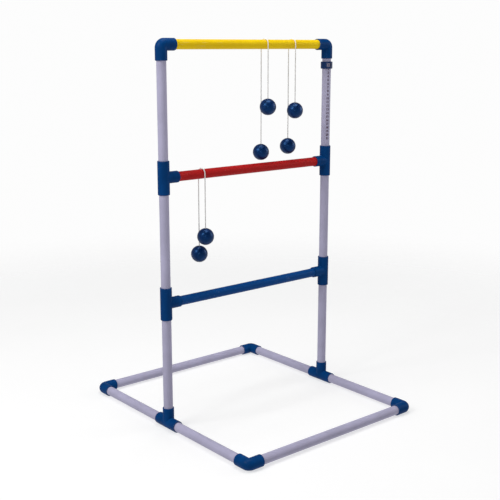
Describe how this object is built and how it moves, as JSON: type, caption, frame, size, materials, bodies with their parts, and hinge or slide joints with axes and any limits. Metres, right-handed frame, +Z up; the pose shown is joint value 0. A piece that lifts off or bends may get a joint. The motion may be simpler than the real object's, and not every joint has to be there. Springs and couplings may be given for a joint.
{
  "type": "ladder toss frame",
  "caption": "Free-standing ladder of push-fit plastic tubes on a rectangular floor base, with coloured rungs, a sliding score ring and corded ball pairs hung over the rungs.",
  "frame": {"origin": "on the floor, under the middle of the frame", "axes": "+X from the left upright to the right one seen from the front, +Y from the front rail to the rear rail, +Z up"},
  "size_m": [0.6107, 0.7114, 1.0367],
  "materials": {
    "white_tube": "satin extruded PVC",
    "blue_fitting": "moulded, semi-gloss",
    "yellow_tube": "satin extruded PVC",
    "red_tube": "satin extruded PVC",
    "blue_tube": "satin extruded PVC",
    "ring_blue": "moulded, semi-gloss",
    "blue_ball": "moulded, high gloss",
    "white_cord": "braided"
  },
  "bodies": {
    "frame": {"left_lower_upright": "white_tube", "left_middle_upright": "white_tube", "left_upper_upright": "white_tube", "right_lower_upright": "white_tube", "right_middle_upright": "white_tube", "right_upper_upright": "white_tube", "left_front_side_rail": "white_tube", "left_rear_side_rail": "white_tube", "right_front_side_rail": "white_tube", "right_rear_side_rail": "white_tube", "front_rail": "white_tube", "rear_rail": "white_tube", "left_top_elbow": "blue_fitting", "right_top_elbow": "blue_fitting", "front_left_elbow": "blue_fitting", "front_right_elbow": "blue_fitting", "rear_left_elbow": "blue_fitting", "rear_right_elbow": "blue_fitting", "left_middle_tee": "blue_fitting", "left_bottom_tee": "blue_fitting", "left_base_tee": "blue_fitting", "right_middle_tee": "blue_fitting", "right_bottom_tee": "blue_fitting", "right_base_tee": "blue_fitting", "top_rung": "yellow_tube", "middle_rung": "red_tube", "bottom_rung": "blue_tube"},
    "score_ring": {"score_ring": "ring_blue"},
    "bola_a": {"bola_a_cord": "white_cord", "bola_a_front_ball": "blue_ball", "bola_a_front_knot": "white_cord", "bola_a_rear_ball": "blue_ball", "bola_a_rear_knot": "white_cord"},
    "bola_b": {"bola_b_cord": "white_cord", "bola_b_front_ball": "blue_ball", "bola_b_front_knot": "white_cord", "bola_b_rear_ball": "blue_ball", "bola_b_rear_knot": "white_cord"},
    "bola_c": {"bola_c_cord": "white_cord", "bola_c_front_ball": "blue_ball", "bola_c_front_knot": "white_cord", "bola_c_rear_ball": "blue_ball", "bola_c_rear_knot": "white_cord"}
  },
  "joints": [
    {"name": "score_ring_slide", "type": "slide", "parent": "frame", "child": "score_ring", "axis": [0, 0, 1], "range_m": [-0.222, 0.008]},
    {"name": "bola_a_swing", "type": "hinge", "parent": "frame", "child": "bola_a", "pos_m": [0, 0, 1.0207], "axis": [1, 0, 0], "range_deg": [-45, 45]},
    {"name": "bola_b_swing", "type": "hinge", "parent": "frame", "child": "bola_b", "pos_m": [0, 0, 1.0207], "axis": [1, 0, 0], "range_deg": [-45, 45]},
    {"name": "bola_c_swing", "type": "hinge", "parent": "frame", "child": "bola_c", "pos_m": [0, 0, 0.6857], "axis": [1, 0, 0], "range_deg": [-45, 45]}
  ]
}
